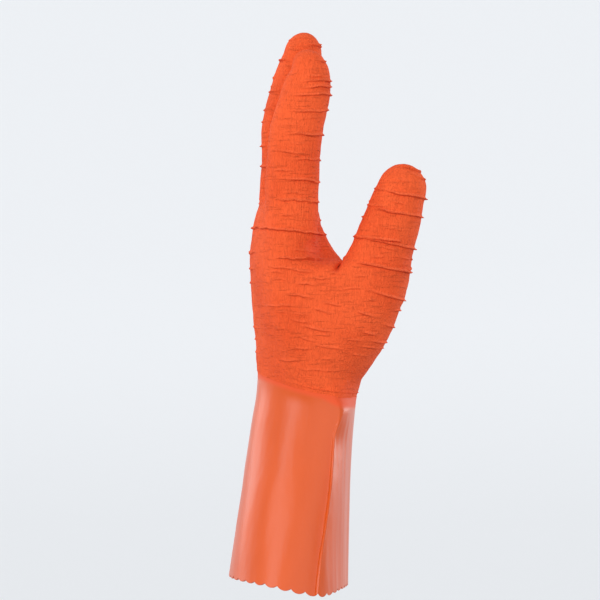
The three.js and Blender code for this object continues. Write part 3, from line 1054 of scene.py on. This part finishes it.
class Graph:
    def __init__(self, name):
        self.material = bpy.data.materials.new(name)
        self.material.use_nodes = True
        self.tree = self.material.node_tree
        self.shader = self.tree.nodes["Principled BSDF"]

    def feed(self, socket, value):
        if isinstance(value, Signal):
            self.tree.links.new(value.socket, socket)
        else:
            socket.default_value = value

    def node(self, kind, settings, inputs, output=0):
        made = self.tree.nodes.new("ShaderNode" + kind)
        for name, value in settings.items():
            setattr(made, name, value)
        for name, value in inputs.items():
            self.feed(made.inputs[name], value)
        return Signal(self, made.outputs[output])

    def set(self, **values):
        for name, value in values.items():
            self.feed(self.shader.inputs[name.replace("_", " ")], value)

    def mix(self, share, first, second):
        return self.node("Mix", {"data_type": "RGBA"}, {0: share, 6: first, 7: second}, output=2)

    def smooth(self, value, low, high):
        settings = {"interpolation_type": "SMOOTHSTEP"}
        return self.node("MapRange", settings, {"Value": value, "From Min": low, "From Max": high})

    def attribute(self, name):
        return self.node("Attribute", {"attribute_name": name}, {}, output=2)

    # A place on the piece, and one of its coordinates: 0 for x, 2 for z
    def place(self):
        return self.node("TexCoord", {}, {}, output=3)

    def coordinate(self, axis):
        return self.node("SeparateXYZ", {}, {0: self.place()}, output=axis)

    # Noise with lumps of a size in mm along each axis
    def grain(self, size, shift=0.0, detail=2.0, distortion=0.0):
        scale = [1 / (length * mm) for length in size]
        place = self.node("Mapping", {}, {"Vector": self.place(), "Location": [shift] * 3, "Scale": scale})
        inputs = {"Vector": place, "Scale": 1.0, "Detail": detail, "Distortion": distortion}
        return self.node("TexNoise", {}, inputs)


crinkledRubber = {
    "deep": (0.81, 0.088, 0.018, 1),
    "bright": (0.91, 0.115, 0.027, 1),
    # painted highlight on a crinkle's upper slope
    "crest": (0.96, 0.155, 0.05, 1),
    "crestShare": 0.7,
    "paintedShade": (0.56, 0.03, 0.002, 1),  # painted shade on a crinkle's lower side
    "paintedShadeShare": 0.65,
    "roughness": 0.78,
    "specular": 0.22,
    "relief": 1.15,  # the depth of its fine bump
    "patchSize": (24, 24, 30),
    "crepeSize": (0.95, 0.95, 4.5),
    "weaveSize": (1.1, 1.1, 0.8),
    "creaseSize": (10, 10, 1.3),
}


def crinkledRubberMaterial():
    graph = Graph("crinkled_rubber")
    patches = graph.grain(crinkledRubber["patchSize"], shift=3, detail=3)
    crepe = graph.grain(crinkledRubber["crepeSize"], distortion=0.7)
    weave = graph.grain(crinkledRubber["weaveSize"], shift=11, detail=1)
    lines = graph.grain(crinkledRubber["creaseSize"], shift=5, distortion=0.8)
    creases = graph.smooth(lines, 0.5, 0.78)
    tone = graph.smooth(patches * 0.7 + crepe * 0.3, 0.32, 0.66)
    plain = graph.mix(tone, crinkledRubber["deep"], crinkledRubber["bright"])
    # painted highlight on the crinkles' upper slopes
    lit = graph.attribute("crest") * crinkledRubber["crestShare"]
    plain = graph.mix(lit, plain, crinkledRubber["crest"])
    # painted shade on the crinkles' lower sides
    shaded = graph.attribute("paintedShade") * crinkledRubber["paintedShadeShare"]
    graph.set(
        Base_Color=graph.mix(shaded, plain, crinkledRubber["paintedShade"]),
        Roughness=crinkledRubber["roughness"] + patches * 0.12,
        Normal=graph.node("Bump", {}, {
            "Strength": 1.0,
            "Distance": crinkledRubber["relief"] * mm,
            "Height": crepe * 1.1 + weave * 0.2 + creases * 0.38,
        }),
        Specular_IOR_Level=crinkledRubber["specular"],
    )
    return graph.material


smoothRubber = {
    "deep": (0.64, 0.081, 0.005, 1),
    "bright": (0.69, 0.092, 0.008, 1),
    "roughness": 0.26,
    "specular": 0.38,
    "relief": 0.35,  # the depth of its soft ripple
    "rim": (0.77, 0.078, 0.012, 1),  # beside the coating, where the gloss fades out
    "rimRoughness": 0.65,
    "rimFade": (-4, -0.4),  # how far below the coating's edge
    "palmFade": 3.5,  # how much further down it lies on the palm's side
    "palmFrom": (8, 22),  # where that begins, in x
    "patchSize": (26, 26, 60),
    "rippleSize": (5, 5, 16),
    "poreSize": (0.6, 0.6, 0.6),
}


def smoothRubberMaterial():
    graph = Graph("smooth_rubber")
    patches = graph.grain(smoothRubber["patchSize"], shift=7)
    ripple = graph.grain(smoothRubber["rippleSize"], shift=2, detail=1)
    pores = graph.grain(smoothRubber["poreSize"], detail=1)
    x = graph.coordinate(0) * (1 / mm)
    z = graph.coordinate(2) * (1 / mm)
    aboveRim = z + x * rimRow["slope"] - x * x * rimRow["bow"] - glove["rimHeight"]
    lower = graph.smooth(x, *smoothRubber["palmFrom"]) * smoothRubber["palmFade"]
    dull = graph.smooth(aboveRim + lower, *smoothRubber["rimFade"])
    roughness = smoothRubber["roughness"] + patches * 0.1
    plain = graph.mix(graph.smooth(patches, 0.3, 0.7), smoothRubber["deep"], smoothRubber["bright"])
    graph.set(
        Base_Color=graph.mix(dull, plain, smoothRubber["rim"]),
        Roughness=roughness + (smoothRubber["rimRoughness"] - roughness) * dull,
        Normal=graph.node("Bump", {}, {
            "Strength": 0.6,
            "Distance": smoothRubber["relief"] * mm,
            "Height": ripple * 0.8 + pores * 0.06,
        }),
        Specular_IOR_Level=smoothRubber["specular"],
    )
    return graph.material


# The stage: a pale floor that curves up far away and glows, soft lights and the camera


stage = {
    "floor": -0.75,
    "sides": 96,
    "profile": table("r z", [
        [3.2, 0],
        [4.2, 0.06],
        [5, 0.34],
        [5.6, 0.9],
        [5.9, 1.8],
        [6, 3.4],
    ]),
    "tone": (0.3, 0.308, 0.32, 1),
    "roughness": 0.9,
    # the stage glows though it is no lamp and lights the glove; the floor glows least, so less light comes
    # from below
    "floorGlow": (0.27, 0.276, 0.284, 1),
    "footGlow": (0.52, 0.53, 0.54, 1),
    "wallGlow": (0.592, 0.604, 0.618, 1),
    "footFrom": 0,  # heights over the floor between which the glow changes, in metres
    "footTo": 0.16,
    "wallTo": 0.8,
    "sky": (0.96, 0.98, 1, 1),
    "skyStrength": 0.6,
}


def paleGlowingPaint():
    graph = Graph("pale_glowing_paint")
    height = graph.coordinate(2)
    foot = graph.smooth(height, stage["footFrom"], stage["footTo"])
    wall = graph.smooth(height, stage["footTo"], stage["wallTo"])
    # the stage's glow, standing in for lamplight: dimmest on the floor, brighter up the wall
    glow = graph.mix(foot, stage["floorGlow"], stage["footGlow"])
    graph.set(
        Base_Color=stage["tone"],
        Roughness=stage["roughness"],
        Emission_Color=graph.mix(wall, glow, stage["wallGlow"]),
        Emission_Strength=1.0,
    )
    return graph.material


def floorAndSky():
    bpy.ops.object.select_all(action="DESELECT")
    profile = stage["profile"]
    bpy.ops.mesh.primitive_circle_add(
        vertices=stage["sides"],
        radius=1,
        fill_type="NGON",
        location=(0, 0, stage["floor"]),
    )
    floor = bpy.context.object
    floor.name = "pale_floor"
    edit(floor)
    bpy.ops.transform.resize(value=(profile[0]["r"],) * 3)
    bpy.ops.mesh.select_mode(type="EDGE")
    bpy.ops.mesh.select_all(action="DESELECT")
    bpy.ops.mesh.select_non_manifold()
    for low, high in zip(profile, profile[1:]):
        share = high["r"] / low["r"]
        bpy.ops.mesh.extrude_region_move(TRANSFORM_OT_translate={"value": (0, 0, high["z"] - low["z"])})
        bpy.ops.transform.resize(value=(share, share, 1))
    bpy.ops.mesh.select_all(action="SELECT")
    bpy.ops.mesh.normals_make_consistent(inside=True)
    endEdit()
    focus(floor)
    bpy.ops.object.shade_smooth()
    floor.data.materials.append(paleGlowingPaint())

    sky = bpy.data.worlds.new("soft_sky")
    sky.use_nodes = True
    background = sky.node_tree.nodes["Background"]
    background.inputs["Color"].default_value = stage["sky"]
    background.inputs["Strength"].default_value = stage["skyStrength"]
    bpy.context.scene.world = sky


lamps = table("name at width height power", [
    ["front_box", (0, -2.3, 0.3), 3.2, 2.4, 23.8],
    ["left_box", (-1.22, -0.73, 0.36), 0.62, 0.7, 4.9],
    ["rear_left_box", (-1.16, 0.82, 0.38), 0.52, 0.7, 3.1],
    ["rear_right_box", (1.05, 0.85, 0.2), 0.65, 0.5, 4.6],
])
lampAim = Vector((0, 0, 0.05))


def softLights():
    for lamp in lamps:
        light = bpy.data.lights.new(lamp["name"], "AREA")
        light.shape = "RECTANGLE"
        light.size = lamp["width"]
        light.size_y = lamp["height"]
        light.energy = lamp["power"]
        holder = bpy.data.objects.new(lamp["name"], light)
        bpy.context.scene.collection.objects.link(holder)
        holder.location = lamp["at"]
        holder.rotation_euler = (lampAim - holder.location).to_track_quat("-Z", "Y").to_euler()
        holder.visible_camera = False


# pixel is what one of the picture's pixels measures at the glove's middle
view = {"x": -2, "z": 60.1, "distance": 1900, "pixel": 0.5725, "pixels": 600, "sensor": 36, "clipEnd": 30}


def camera():
    lens = bpy.data.cameras.new("camera")
    lens.sensor_width = view["sensor"]
    lens.lens = view["sensor"] * view["distance"] / (view["pixel"] * view["pixels"])
    lens.clip_end = view["clipEnd"]
    holder = bpy.data.objects.new("camera", lens)
    bpy.context.scene.collection.objects.link(holder)
    holder.location = (view["x"] * mm, -view["distance"] * mm, view["z"] * mm)
    holder.rotation_euler = (90 * rad, 0, 0)
    bpy.context.scene.camera = holder


hand = crinkledHand()
hand.data.materials.clear()
hand.data.materials.append(crinkledRubberMaterial())
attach(hand, "root")
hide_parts("crinkled_palm", *(name + "_stall" for name in stalls))

gauntlet = smoothCuff()
gauntlet.data.materials.append(smoothRubberMaterial())
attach(gauntlet, "root")
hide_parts("smooth_cuff")

floorAndSky()
softLights()
camera()
bpy.context.scene.view_settings.view_transform = "Standard"
print("stage set")
